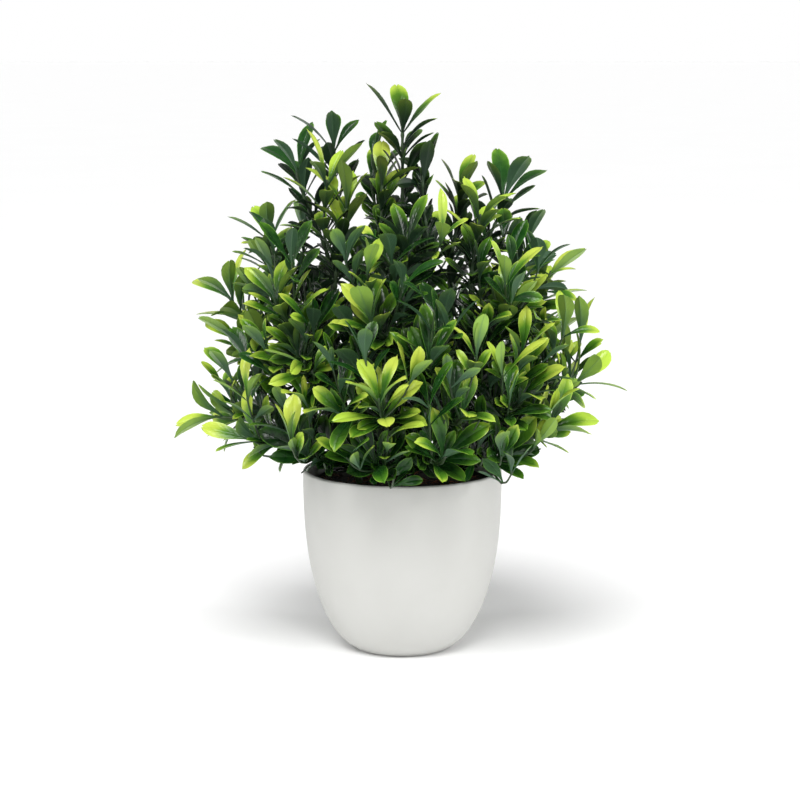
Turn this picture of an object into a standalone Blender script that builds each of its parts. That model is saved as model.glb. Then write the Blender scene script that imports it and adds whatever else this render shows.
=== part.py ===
"""Artificial tabletop tree: a white bowl pot that holds a foam plug with seven leafy branches.

Metres, +Z up. The origin is the centre of the pot's flat base, and -Y is the front.
Each branch is a moulded stem with short pegs, and a leaf spray is pushed onto every peg.
A branch bends outwards at the soil line, where its wire core leaves the foam. The centre one turns.
"""

import math
import random

import bmesh
import bpy
from mathutils import Matrix, Vector
from mathutils.bvhtree import BVHTree
from mathutils.geometry import interpolate_bezier

# Pot: a turned bowl whose side follows a superellipse.
POT_HEIGHT = 0.082
POT_RADIUS = 0.045
POT_BASE_RADIUS = 0.020
POT_WALL = 0.0022
POT_FLOOR = 0.003
POT_CURVE = (2.6, 1.7)
POT_STEPS = 24

# What the pot holds, from the bottom up.
GAP = 0.0003
WEIGHT_TOP = 0.022
FOAM_TOP = 0.069
SOIL_EDGE_TOP = 0.0745
SOIL_CROWN = 0.0015
FILL_CLEARANCE = 0.0011

# Wire pegs: the bare lower ends of the branches' wire cores, pushed into the foam.
WIRE_RADIUS = 0.0010
WIRE_HOLE_RADIUS = 0.0013
WIRE_FOOT = 0.040
PIVOT_RADIUS = 0.022
PIVOT_HEIGHT = 0.0770
BEND_DEGREES = 15.0

# Stems and twigs.
STEM_BASE_RADIUS = 0.0016
STEM_TOP_RADIUS = 0.0010
PEG_RADIUS = 0.0008
PEG_LENGTH = 0.0050
TWIG_BASE_RADIUS = 0.0009
TWIG_TIP_RADIUS = 0.0006
STEM_POINTS = 8
TWIG_POINTS = 5
FORK_DEGREES = 45.0

# Leaves: an obovate blade that folds along its midrib and curves back.
LEAF_LENGTH = 0.0245
LEAF_WIDTH = 0.0085
LEAF_THICK = 0.0011
LEAF_WIDEST = 0.64
LEAF_TIP_SHARE = 0.55
LEAF_FOLD = 0.13
LEAF_CREST = 0.35
LEAF_SPACE = 0.00035
LEAF_RISE = 0.5
LEAF_BEND = (10, 50)
WHORL_STEP = 0.0110
FIRST_WHORL = 0.0040
WHORL_LEAVES = (4, 4, 4, 4, 3)
END_SPLAY = 12.0
SPLAY = 30.0
SPLAY_GAIN = 6.0
TRIES = 16

# The centre branch keeps to a round core, and the six others to equal slices round it.
CORE_RADIUS = 0.0195
SECTORS = 6
MARGIN = 0.0005
RIM_CLEARANCE = 0.0012
LOWEST_LEAF = 0.0835

# One branch each: the direction that it faces, in degrees from +X, and its stem's top in millimetres.
# The centre branch stands straight up and faces no way.
CENTRE = "centre"
BRANCHES = {
    CENTRE: (None, (0, 0, 176)),
    "front": (-90, (0, -31, 164)),
    "front_right": (-30, (30, -18, 162)),
    "back_right": (30, (32, 19, 160)),
    "back": (90, (0, 32, 164)),
    "back_left": (150, (-32, 19, 160)),
    "front_left": (-150, (-30, -18, 162)),
}

# One spray each: its branch, how far up the stem its peg is, its tip in millimetres, and its upturn.
SPRAYS = (
    ("centre", 1.00, (0, -1, 236), 0.75),
    ("centre", 0.42, (3, 9, 178), 1.0),
    ("centre", 0.56, (-9, -4, 212), 1.0),
    ("centre", 0.78, (9, -3, 214), 1.0),
    ("front", 1.00, (2, -37, 187), 0.75),
    ("front", 0.10, (-12, -58, 94), 0.8),
    ("front", 0.19, (18, -70, 100), 1.2),
    ("front", 0.28, (-10, -79, 126), 1.8),
    ("front", 0.37, (26, -66, 117), 1.6),
    ("front", 0.46, (-27, -66, 118), 1.6),
    ("front", 0.56, (12, -71, 140), 1.8),
    ("front", 0.68, (-14, -60, 158), 1.8),
    ("front_right", 1.00, (34, -19, 198), 0.75),
    ("front_right", 0.12, (43, -38, 94), 0.8),
    ("front_right", 0.24, (65, -28, 105), 1.0),
    ("front_right", 0.36, (52, -42, 120), 1.5),
    ("front_right", 0.50, (79, -19, 124), 1.0),
    ("front_right", 0.64, (46, -33, 158), 1.5),
    ("back_right", 1.00, (47, 19, 205), 0.75),
    ("back_right", 0.14, (57, 36, 103), 1.0),
    ("back_right", 0.29, (64, 20, 136), 1.2),
    ("back_right", 0.45, (44, 44, 142), 1.5),
    ("back_right", 0.60, (66, 26, 166), 1.0),
    ("back_right", 0.76, (26, 20, 206), 0.75),
    ("back", 1.00, (-14, 26, 222), 0.75),
    ("back", 0.12, (13, 64, 100), 1.0),
    ("back", 0.26, (-26, 64, 110), 1.3),
    ("back", 0.40, (26, 64, 128), 1.5),
    ("back", 0.54, (-12, 70, 146), 1.5),
    ("back", 0.72, (12, 48, 180), 1.2),
    ("back_left", 1.00, (-48, 16, 217), 0.75),
    ("back_left", 0.14, (-70, 26, 102), 0.6),
    ("back_left", 0.29, (-50, 44, 132), 1.5),
    ("back_left", 0.44, (-76, 20, 138), 0.75),
    ("back_left", 0.58, (-80, 24, 158), 1.0),
    ("back_left", 0.74, (-61, 22, 186), 0.75),
    ("front_left", 1.00, (-24, -16, 203), 0.75),
    ("front_left", 0.11, (-42, -40, 95), 0.6),
    ("front_left", 0.23, (-66, -34, 101), 0.6),
    ("front_left", 0.36, (-83, -20, 109), 0.3),
    ("front_left", 0.50, (-46, -42, 141), 1.5),
    ("front_left", 0.66, (-56, -33, 164), 1.3),
)

COLOURS = {
    "pot_white": ((0.80, 0.80, 0.78), 0.55, 0.0),
    "foam_cream": ((0.78, 0.74, 0.62), 0.95, 0.0),
    "cement_grey": ((0.42, 0.41, 0.39), 0.95, 0.0),
    "soil_brown": ((0.035, 0.024, 0.016), 0.95, 0.0),
    "wire_steel": ((0.55, 0.55, 0.56), 0.35, 1.0),
    "stem_green": ((0.055, 0.115, 0.045), 0.50, 0.0),
    "leaf_green": ((0.045, 0.150, 0.035), 0.42, 0.0),
}


# ---------------------------------------------------------------- growth plan


def mm(point):
    return Vector(point) / 1000


def facing(branch):
    """The level direction that a branch faces and bends towards, or nothing for the centre one."""
    if branch == CENTRE:
        return Vector((0, 0, 0))
    angle = math.radians(BRANCHES[branch][0])
    return Vector((math.cos(angle), math.sin(angle), 0))


def pivot_of(branch):
    return facing(branch) * PIVOT_RADIUS + Vector((0, 0, PIVOT_HEIGHT))


def bend_matrix(branch, share):
    """How a branch has moved when it is bent outwards by a share of its range. The centre one only turns."""
    if branch == CENTRE:
        return Matrix.Identity(4)
    pivot = pivot_of(branch)
    axis = Vector((0, 0, 1)).cross(facing(branch))
    turn = Matrix.Rotation(math.radians(BEND_DEGREES * share), 4, axis)
    return Matrix.Translation(pivot) @ turn @ Matrix.Translation(-pivot)


def along(path, distance):
    """The point and the direction at a distance along a path."""
    for a, b in zip(path, path[1:]):
        step = (b - a).length
        if distance <= step or b is path[-1]:
            return a + (b - a) * (distance / step), (b - a) / step
        distance -= step


def length_of(path):
    return sum((b - a).length for a, b in zip(path, path[1:]))


def stem_path(branch):
    """A stem leaves the soil nearly upright, leans outwards and rises to its top."""
    top = mm(BRANCHES[branch][1])
    foot = pivot_of(branch) + Vector((0, 0, GAP))
    lean = (Vector((0, 0, 1)) + facing(branch) * 0.35).normalized()
    reach = (top - foot).length * 0.38
    last = top - Vector((0, 0, reach * 0.9)) + facing(branch) * 0.003
    return interpolate_bezier(foot, foot + lean * reach, last, top, STEM_POINTS)


def twig_start(stem, share, tip):
    """Where a spray's peg is rooted in the stem, and the direction of the peg."""
    root, rise = along(stem, length_of(stem) * share)
    if share == 1.0:
        return root, rise
    aside = tip - root
    aside = (aside - rise * aside.dot(rise)).normalized()
    fork = math.radians(FORK_DEGREES)
    return root, rise * math.cos(fork) + aside * math.sin(fork)


def twig_path(stem, share, tip, upturn):
    """A twig carries on from its peg, sags outwards and turns up at its tip."""
    root, peg = twig_start(stem, share, tip)
    start = root + peg * (GAP + (0 if share == 1.0 else PEG_LENGTH))
    reach = (tip - start).length * 0.36
    end = ((tip - start).normalized() + Vector((0, 0, upturn))).normalized()
    return interpolate_bezier(start, start + peg * reach, tip - end * reach, tip, TWIG_POINTS)


class Leaf:
    """One leaf: where it is rooted, which way it grows, and its size."""

    def __init__(self, root, axis, out, splay, bend, roll, length, width):
        self.root, self.axis, self.out = root, axis, out
        self.splay, self.bend, self.roll = splay, bend, roll
        self.length, self.width = length, width

    def point(self, t, across, lift):
        """t runs from root to tip. across is to the side and lift is towards the upper face, in metres."""
        bent = self.bend * t
        turn = self.splay + bent
        grow = self.axis * math.cos(turn) + self.out * math.sin(turn)
        up = self.axis * math.sin(turn) - self.out * math.cos(turn)
        side = Matrix.Rotation(self.roll, 3, grow) @ grow.cross(up)
        up = side.cross(grow)
        chord = self.splay + bent / 2
        run = self.length * t * (1 - bent * bent / 24)
        rib = self.axis * math.cos(chord) + self.out * math.sin(chord)
        fold = LEAF_FOLD * abs(across) * 2
        return self.root + rib * run + side * across + up * (lift + fold)

    def outline(self, pad=0.0):
        """The five corners of the blade as (t, across): the root, then up one side and down the other."""
        middle = self.width / 2 + pad
        tip = self.width * LEAF_TIP_SHARE / 2 + pad
        end = 1.0 + pad / self.length
        return [(0.0, 0.0), (LEAF_WIDEST, -middle), (end, -tip), (end, tip), (LEAF_WIDEST, middle)]

    def hull(self, pad):
        """The blade as a closed slab with room around it, for finding what it would touch."""
        ring = self.outline(pad)
        upper = [self.point(t, a, pad) for t, a in ring]
        lower = [self.point(t, a, -pad) for t, a in ring]
        crest = LEAF_THICK / 2 + pad
        points = upper + lower
        points += [self.point(LEAF_CREST, 0, crest), self.point(LEAF_CREST, 0, -crest)]
        n = len(ring)
        faces = []
        for i in range(n):
            j = (i + 1) % n
            faces += [(2 * n, i, j), (2 * n + 1, n + j, n + i), (i, n + i, n + j), (i, n + j, j)]
        return points, faces

    def samples(self):
        """Points all over the blade, close enough together that none of the pot fits between."""
        rows = [(k / 12, (0.5 + 0.5 * min(1, k / 7)) * self.width / 2) for k in range(13)]
        return [self.point(t, s * half, 0) for t, half in rows for s in (-1, 0, 1)]


def tube_shape(path, radius):
    """A plain six-sided tube, for finding what a leaf would touch."""
    points, faces = [], []
    for i, p in enumerate(path):
        ahead = path[min(i + 1, len(path) - 1)] - path[max(i - 1, 0)]
        side = ahead.orthogonal().normalized() * radius
        for k in range(6):
            points.append(p + Matrix.Rotation(math.pi * k / 3, 3, ahead) @ side)
    for i in range(len(path) - 1):
        for k in range(6):
            a, b = 6 * i + k, 6 * i + (k + 1) % 6
            faces += [(a, b, b + 6), (a, b + 6, a + 6)]
    return points, faces


def box_of(points):
    low = [min(p[k] for p in points) for k in range(3)]
    return low, [max(p[k] for p in points) for k in range(3)]


class Space:
    """What already stands somewhere, kept as shapes that each belong to a spray or a stem."""

    def __init__(self):
        self.items = []

    def add(self, owner, points, faces):
        self.items.append((owner, *box_of(points), BVHTree.FromPolygons(points, faces)))

    def hit(self, owner, points, faces):
        low, high = box_of(points)
        tree = None
        for other, first, last, shape in self.items:
            if other == owner or any(first[k] > high[k] or last[k] < low[k] for k in range(3)):
                continue
            tree = tree or BVHTree.FromPolygons(points, faces)
            if tree.overlap(shape):
                return True
        return False


def pot_radius(z):
    """The pot's outer radius at a height."""
    low = max(0.0, 1 - z / POT_HEIGHT)
    swell = (1 - low ** POT_CURVE[0]) ** (1 / POT_CURVE[1])
    return POT_BASE_RADIUS + (POT_RADIUS - POT_BASE_RADIUS) * swell


def in_slice(branch, points):
    """True if all points lie well inside the branch's own slice of the bush."""
    ahead = facing(branch)
    aside = Vector((-ahead.y, ahead.x, 0))
    half = math.pi / SECTORS
    room = (p.dot(ahead) * math.sin(half) - abs(p.dot(aside)) * math.cos(half) for p in points)
    return min(room) >= MARGIN


def in_own_space(branch, points):
    """True if all points are in the core for the centre branch, or outside it and in its slice for another."""
    radii = [math.hypot(p.x, p.y) for p in points]
    if branch == CENTRE:
        return max(radii) <= CORE_RADIUS - MARGIN
    return min(radii) >= CORE_RADIUS + MARGIN and in_slice(branch, points)


def clears_pot(points):
    """True if no point is in the soil, in the pot's wall, or about to touch them."""
    for p in points:
        if p.z > POT_HEIGHT + RIM_CLEARANCE:
            continue
        r = math.hypot(p.x, p.y)
        inside = r < POT_RADIUS - POT_WALL - RIM_CLEARANCE and p.z > PIVOT_HEIGHT
        if not inside and r < POT_RADIUS + RIM_CLEARANCE:
            return False
    return True


def can_bend(branch, leaf):
    """True if the leaf stays in its own space and off the pot all the way through the branch's bend."""
    points = leaf.samples() + leaf.hull(LEAF_SPACE)[0]
    if min(p.z for p in points) < LOWEST_LEAF:
        return False
    for share in (0.0, 0.33, 0.67, 1.0):
        moved = [bend_matrix(branch, share) @ p for p in points]
        if not in_own_space(branch, moved) or not clears_pot(moved):
            return False
    return True


def grow_leaf(draw, branch, owner, space, root, axis, start_angle, level, is_end):
    """The first of a few ways to set a leaf that touches nothing, or None."""
    splay_degrees = END_SPLAY if is_end else SPLAY + level * SPLAY_GAIN
    side = axis.orthogonal().normalized()
    for attempt in range(TRIES):
        loose = 1 + attempt * 0.7
        angle = start_angle + math.radians(draw.uniform(-7, 7) * loose)
        splay = math.radians(splay_degrees + draw.uniform(-5, 5) * loose)
        bend = math.radians(draw.uniform(*LEAF_BEND))
        roll = math.radians(draw.uniform(-10, 10) * loose)
        size = draw.uniform(0.86, 1.16) * (1 - 0.025 * attempt) * (1 - 0.03 * level)
        width = LEAF_WIDTH * size * draw.uniform(0.86, 1.14)
        out = Matrix.Rotation(angle, 3, axis) @ side
        leaf = Leaf(root, axis, out, splay, bend, roll, LEAF_LENGTH * size, width)
        if can_bend(branch, leaf) and not space.hit(owner, *leaf.hull(LEAF_SPACE)):
            return leaf
    return None


def growth_plan():
    """The stems' paths by branch, the twigs' paths, and the leaves of each spray."""
    stems = {branch: stem_path(branch) for branch in BRANCHES}
    twigs = [twig_path(stems[b], share, mm(tip), up) for b, share, tip, up in SPRAYS]
    space = Space()
    for branch, path in stems.items():
        space.add(branch, *tube_shape(path, STEM_BASE_RADIUS))
    for i, path in enumerate(twigs):
        space.add(i, *tube_shape(path, TWIG_BASE_RADIUS))
    for branch, share, tip, *_ in SPRAYS:
        if share < 1.0:
            root, peg = twig_start(stems[branch], share, mm(tip))
            space.add(branch, *tube_shape([root, root + peg * PEG_LENGTH], PEG_RADIUS))
    draws = [random.Random(100 + i) for i in range(len(SPRAYS))]
    turns = [draw.uniform(0, 2 * math.pi) for draw in draws]
    leaves = [[] for _ in SPRAYS]
    for level, count in enumerate(WHORL_LEAVES):
        for i, path in enumerate(twigs):
            bare = length_of(path) - 2 * FIRST_WHORL
            step = min(WHORL_STEP, bare / 3) * draws[i].uniform(0.92, 1.0)
            if level * step > bare:
                continue
            root, axis = along(path, length_of(path) - FIRST_WHORL - level * step)
            axis = (axis + Vector((0, 0, LEAF_RISE * SPRAYS[i][3]))).normalized()
            for k in range(count):
                angle = turns[i] + 2 * math.pi * k / count + level * 0.8
                is_end = level == 0 and k == 0
                leaf = grow_leaf(draws[i], SPRAYS[i][0], i, space, root, axis, angle, level, is_end)
                if leaf:
                    leaves[i].append(leaf)
                    space.add(i, *leaf.hull(0.0001))
    return stems, twigs, leaves


# ---------------------------------------------------------------- building


def clear_scene():
    for obj in list(bpy.data.objects):
        bpy.data.objects.remove(obj)


def new_collection(name):
    made = bpy.data.collections.new(name)
    bpy.context.scene.collection.children.link(made)
    return made


def material(slot):
    colour, roughness, metallic = COLOURS[slot]
    made = bpy.data.materials.new(slot)
    made.use_nodes = True
    shader = made.node_tree.nodes["Principled BSDF"]
    shader.inputs["Base Color"].default_value = (*colour, 1)
    shader.inputs["Roughness"].default_value = roughness
    shader.inputs["Metallic"].default_value = metallic
    return made


class Builder:
    """Makes named objects with their materials, and keeps the helpers in their own collection."""

    def __init__(self):
        self.parts = new_collection("artificial_tabletop_tree")
        self.helpers = new_collection("cutters")
        self.slots = {slot: material(slot) for slot in COLOURS}

    def mesh_object(self, name, mesh, helper=False):
        obj = bpy.data.objects.new(name, mesh)
        (self.helpers if helper else self.parts).objects.link(obj)
        if helper:
            obj.hide_render = True
            obj.display_type = "WIRE"
        return obj

    def finish(self, obj, slot, parent, smooth_degrees=40):
        obj.data.materials.clear()
        obj.data.materials.append(self.slots[slot])
        obj.data.shade_smooth()
        obj.data.set_sharp_from_angle(angle=math.radians(smooth_degrees))
        obj.parent = parent
        obj.matrix_parent_inverse = parent.matrix_world.inverted()
        return obj

    def empty(self, name, location, parent=None):
        obj = bpy.data.objects.new(name, None)
        obj.empty_display_size = 0.01
        self.parts.objects.link(obj)
        obj.location = location
        if parent:
            obj.parent = parent
            obj.location = location - parent.matrix_world.translation
        bpy.context.view_layer.update()
        return obj

    def evaluated_mesh(self, obj):
        graph = bpy.context.evaluated_depsgraph_get()
        return bpy.data.meshes.new_from_object(obj.evaluated_get(graph))

    def tube(self, name, path, radii, bevel_resolution):
        """A closed tapered tube along a path, as a helper mesh."""
        curve = bpy.data.curves.new(name, "CURVE")
        curve.dimensions = "3D"
        curve.bevel_depth = 1.0
        curve.bevel_resolution = bevel_resolution
        curve.use_fill_caps = True
        spline = curve.splines.new("POLY")
        spline.points.add(len(path) - 1)
        for i, (point, place) in enumerate(zip(spline.points, path)):
            point.co = (*place, 1)
            point.radius = radii[0] + (radii[1] - radii[0]) * i / (len(path) - 1)
        guide = bpy.data.objects.new(name + "_line", curve)
        self.helpers.objects.link(guide)
        mesh = self.evaluated_mesh(guide)
        bpy.data.objects.remove(guide)
        weld(mesh)
        return self.mesh_object(name + "_tube", mesh, helper=True)

    def turned(self, name, profile, steps, helper=False):
        """A solid of revolution about Z from a profile of (radius, height) points."""
        mesh = bpy.data.meshes.new(name)
        edges = [(i, i + 1) for i in range(len(profile) - 1)]
        mesh.from_pydata([(r, 0, z) for r, z in profile], edges, [])
        obj = self.mesh_object(name, mesh, helper)
        screw = obj.modifiers.new("turn", "SCREW")
        screw.axis = "Z"
        screw.steps = screw.render_steps = steps
        screw.use_merge_vertices = True
        screw.merge_threshold = 0.00001
        baked = self.evaluated_mesh(obj)
        obj.modifiers.clear()
        obj.data = baked
        return obj

    def rod(self, name, centre, radius, bottom, top, sides, helper=False):
        mesh = bpy.data.meshes.new(name)
        shape = bmesh.new()
        place = Matrix.Translation((centre.x, centre.y, (bottom + top) / 2))
        bmesh.ops.create_cone(
            shape, cap_ends=True, segments=sides, radius1=radius, radius2=radius,
            depth=top - bottom, matrix=place,
        )
        shape.to_mesh(mesh)
        shape.free()
        return self.mesh_object(name, mesh, helper)

    def combined(self, name, base, others, operation):
        """The base joined with, or cut by, the other closed solids, as one named mesh."""
        group = bpy.data.collections.new(name + "_with")
        for other in others:
            group.objects.link(other)
        boolean = base.modifiers.new(operation.lower(), "BOOLEAN")
        boolean.operation = operation
        boolean.solver = "EXACT"
        boolean.operand_type = "COLLECTION"
        boolean.collection = group
        bpy.context.view_layer.update()
        mesh = self.evaluated_mesh(base)
        for used in (base, *others):
            bpy.data.objects.remove(used)
        bpy.data.collections.remove(group)
        return self.mesh_object(name, mesh)


def weld(mesh):
    shape = bmesh.new()
    shape.from_mesh(mesh)
    bmesh.ops.remove_doubles(shape, verts=shape.verts, dist=0.000005)
    bmesh.ops.recalc_face_normals(shape, faces=shape.faces)
    shape.to_mesh(mesh)
    shape.free()


def arc(centre, radius, start, end, steps):
    """Points (radius, height) round part of a circle, from one angle to another in degrees."""
    angles = (math.radians(start + (end - start) * i / steps) for i in range(steps + 1))
    return [(centre[0] + radius * math.cos(a), centre[1] + radius * math.sin(a)) for a in angles]


def side_heights(bottom, top, steps):
    """Heights from bottom to top, closer together low down where the bowl curves most."""
    return [bottom + (top - bottom) * (i / steps) ** 1.7 for i in range(steps + 1)]


def inner_radius(z, clearance=0.0):
    return pot_radius(z) - POT_WALL - clearance


def make_pot(build, root):
    lip = POT_WALL / 2
    inner = [(inner_radius(z), z) for z in side_heights(POT_FLOOR, POT_HEIGHT - lip, 9)]
    outer = [(pot_radius(z), z) for z in side_heights(0.0, POT_HEIGHT - lip, 10)]
    rim = arc((POT_RADIUS - lip, POT_HEIGHT - lip), lip, 180, 0, 4)
    profile = [(0.0, POT_FLOOR)] + inner[:-1] + rim + outer[-2::-1] + [(0.0, 0.0)]
    pot = build.turned("pot", profile, POT_STEPS)
    return build.finish(pot, "pot_white", root, smooth_degrees=50)


def fill_profile(bottom, top, clearance, steps, crown=0.0):
    """The outline of a body that fills the pot between two heights."""
    side = [(inner_radius(z, clearance), z) for z in side_heights(bottom, top, steps)]
    return [(0.0, top + crown)] + side[::-1] + [(0.0, bottom)]


def make_weight(build, root):
    profile = fill_profile(POT_FLOOR + GAP, WEIGHT_TOP, FILL_CLEARANCE, 4)
    return build.finish(build.turned("cement_weight", profile, POT_STEPS), "cement_grey", root)


def wire_cutters(build):
    """Clearance holes for the seven wire pegs, right through the soil and deep into the foam."""
    return [
        build.rod("hole_" + b, pivot_of(b), WIRE_HOLE_RADIUS, WIRE_FOOT - GAP, POT_HEIGHT, 8, helper=True)
        for b in BRANCHES
    ]


def make_foam(build, plug):
    body = build.turned("foam_blank", fill_profile(WEIGHT_TOP + GAP, FOAM_TOP, FILL_CLEARANCE, 5), POT_STEPS)
    foam = build.combined("foam_plug", body, wire_cutters(build), "DIFFERENCE")
    return build.finish(foam, "foam_cream", plug)


def make_soil(build, plug):
    profile = fill_profile(FOAM_TOP + GAP, SOIL_EDGE_TOP, FILL_CLEARANCE, 2, SOIL_CROWN)
    body = build.turned("soil_blank", profile, POT_STEPS)
    soil = build.combined("soil_cover", body, wire_cutters(build), "DIFFERENCE")
    return build.finish(soil, "soil_brown", plug)


def make_wire_peg(build, branch, plug):
    peg = build.rod("wire_peg_" + branch, pivot_of(branch), WIRE_RADIUS, WIRE_FOOT, PIVOT_HEIGHT - GAP, 8)
    return build.finish(peg, "wire_steel", plug)


def make_stem(build, branch, path, hinge):
    """A moulded stem with a short peg for each spray but the top one."""
    stem = build.tube("stem_" + branch, path, (STEM_BASE_RADIUS, STEM_TOP_RADIUS), 1)
    pegs = []
    for owner, share, tip, _ in SPRAYS:
        if owner == branch and share < 1.0:
            root, peg = twig_start(path, share, mm(tip))
            ends = [root, root + peg * PEG_LENGTH]
            pegs.append(build.tube("peg", ends, (PEG_RADIUS, PEG_RADIUS), 0))
    stem = build.combined("stem_" + branch, stem, pegs, "UNION")
    return build.finish(stem, "stem_green", hinge)


def leaf_blade(build, leaf):
    """A two-sided cone with a five-cornered rim, drawn out into the shape of the leaf."""
    shape = bmesh.new()
    bmesh.ops.create_uvsphere(shape, u_segments=5, v_segments=2, radius=1)
    corners = leaf.outline()
    for v in shape.verts:
        if abs(v.co.z) > 0.5:
            v.co = leaf.point(LEAF_CREST, 0, math.copysign(LEAF_THICK / 2, v.co.z))
        else:
            turn = math.atan2(v.co.y, v.co.x) - math.pi / 2
            t, across = corners[round(turn / (2 * math.pi / 5)) % 5]
            v.co = leaf.point(t, across, 0)
    bmesh.ops.recalc_face_normals(shape, faces=shape.faces)
    mesh = bpy.data.meshes.new("leaf")
    shape.to_mesh(mesh)
    shape.free()
    return build.mesh_object("leaf", mesh, helper=True)


def make_spray(build, name, path, leaves, hinge):
    """A twig with its leaves moulded on, as one solid."""
    twig = build.tube(name, path, (TWIG_BASE_RADIUS, TWIG_TIP_RADIUS), 0)
    spray = build.combined(name, twig, [leaf_blade(build, leaf) for leaf in leaves], "UNION")
    return build.finish(spray, "leaf_green", hinge, smooth_degrees=25)


def main():
    clear_scene()
    stems, twigs, leaves = growth_plan()
    build = Builder()
    root = build.empty("table_contact", Vector((0, 0, 0)))
    plug = build.empty("plug_lift", Vector((0, 0, 0)), root)
    hinges = {b: build.empty("bend_" + b, pivot_of(b), plug) for b in BRANCHES}
    make_pot(build, root)
    make_weight(build, root)
    make_foam(build, plug)
    make_soil(build, plug)
    for branch, path in stems.items():
        make_wire_peg(build, branch, plug)
        make_stem(build, branch, path, hinges[branch])
    counts = dict.fromkeys(BRANCHES, 0)
    for (branch, *_), path, grown in zip(SPRAYS, twigs, leaves):
        counts[branch] += 1
        make_spray(build, f"spray_{branch}_{counts[branch]}", path, grown, hinges[branch])


main()
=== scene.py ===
"""Artificial tabletop tree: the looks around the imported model.

The frame holds the pot, its filling, seven stems and the leaf sprays as plain solids. This script
grows the same leaves by the same rules, gives each its fine shape, and turns the pot and the soil.
"""

import random
from math import cos, exp, hypot, pi, radians, sin, sqrt

import bmesh
import bpy
from mathutils import Matrix, Vector, noise
from mathutils.bvhtree import BVHTree
from mathutils.geometry import interpolate_bezier
from mathutils.kdtree import KDTree


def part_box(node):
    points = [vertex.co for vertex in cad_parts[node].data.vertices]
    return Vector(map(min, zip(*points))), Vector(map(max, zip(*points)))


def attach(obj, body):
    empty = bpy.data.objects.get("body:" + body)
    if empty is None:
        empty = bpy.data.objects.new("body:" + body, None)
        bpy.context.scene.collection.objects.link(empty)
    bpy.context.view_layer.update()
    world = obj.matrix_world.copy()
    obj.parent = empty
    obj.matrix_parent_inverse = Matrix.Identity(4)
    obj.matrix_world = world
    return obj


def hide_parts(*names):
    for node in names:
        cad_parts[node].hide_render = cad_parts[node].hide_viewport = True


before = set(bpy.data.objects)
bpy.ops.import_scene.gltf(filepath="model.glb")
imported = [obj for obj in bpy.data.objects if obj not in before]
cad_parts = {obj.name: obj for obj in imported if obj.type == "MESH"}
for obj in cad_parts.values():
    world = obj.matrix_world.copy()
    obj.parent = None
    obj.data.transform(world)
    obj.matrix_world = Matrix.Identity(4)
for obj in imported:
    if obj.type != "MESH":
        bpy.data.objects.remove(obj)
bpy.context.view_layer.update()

# -------- sizes shared with the CAD model

POT_HEIGHT = 0.082
POT_RADIUS = 0.045
POT_BASE_RADIUS = 0.020
POT_WALL = 0.0022
POT_FLOOR = 0.003
POT_CURVE = (2.6, 1.7)
GAP = 0.0003
PIVOT_RADIUS = 0.022
PIVOT_HEIGHT = 0.0770
BEND_DEGREES = 15.0

STEM_BASE_RADIUS = 0.0016
STEM_TOP_RADIUS = 0.0010
PEG_RADIUS = 0.0008
PEG_LENGTH = 0.0050
TWIG_BASE_RADIUS = 0.0009
TWIG_TIP_RADIUS = 0.0006
STEM_POINTS = 8
TWIG_POINTS = 5
FORK_DEGREES = 45.0

LEAF_LENGTH = 0.0245
LEAF_WIDTH = 0.0085
LEAF_THICK = 0.0011
LEAF_WIDEST = 0.64
LEAF_TIP_SHARE = 0.55
LEAF_FOLD = 0.13
LEAF_CREST = 0.35
LEAF_SPACE = 0.00035
GROWN_SPACE = 0.0001
LEAF_RISE = 0.5
LEAF_BEND = (10, 50)
WHORL_STEP = 0.0110
FIRST_WHORL = 0.0040
WHORL_LEAVES = (4, 4, 4, 4, 3)
END_SPLAY = 12.0
SPLAY = 30.0
SPLAY_GAIN = 6.0
TRIES = 16

CORE_RADIUS = 0.0195
SECTORS = 6
MARGIN = 0.0005
RIM_CLEARANCE = 0.0012
LOWEST_LEAF = 0.0835

CENTRE = "centre"
BRANCHES = {
    CENTRE: (None, (0, 0, 176)),
    "front": (-90, (0, -31, 164)),
    "front_right": (-30, (30, -18, 162)),
    "back_right": (30, (32, 19, 160)),
    "back": (90, (0, 32, 164)),
    "back_left": (150, (-32, 19, 160)),
    "front_left": (-150, (-30, -18, 162)),
}

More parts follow.
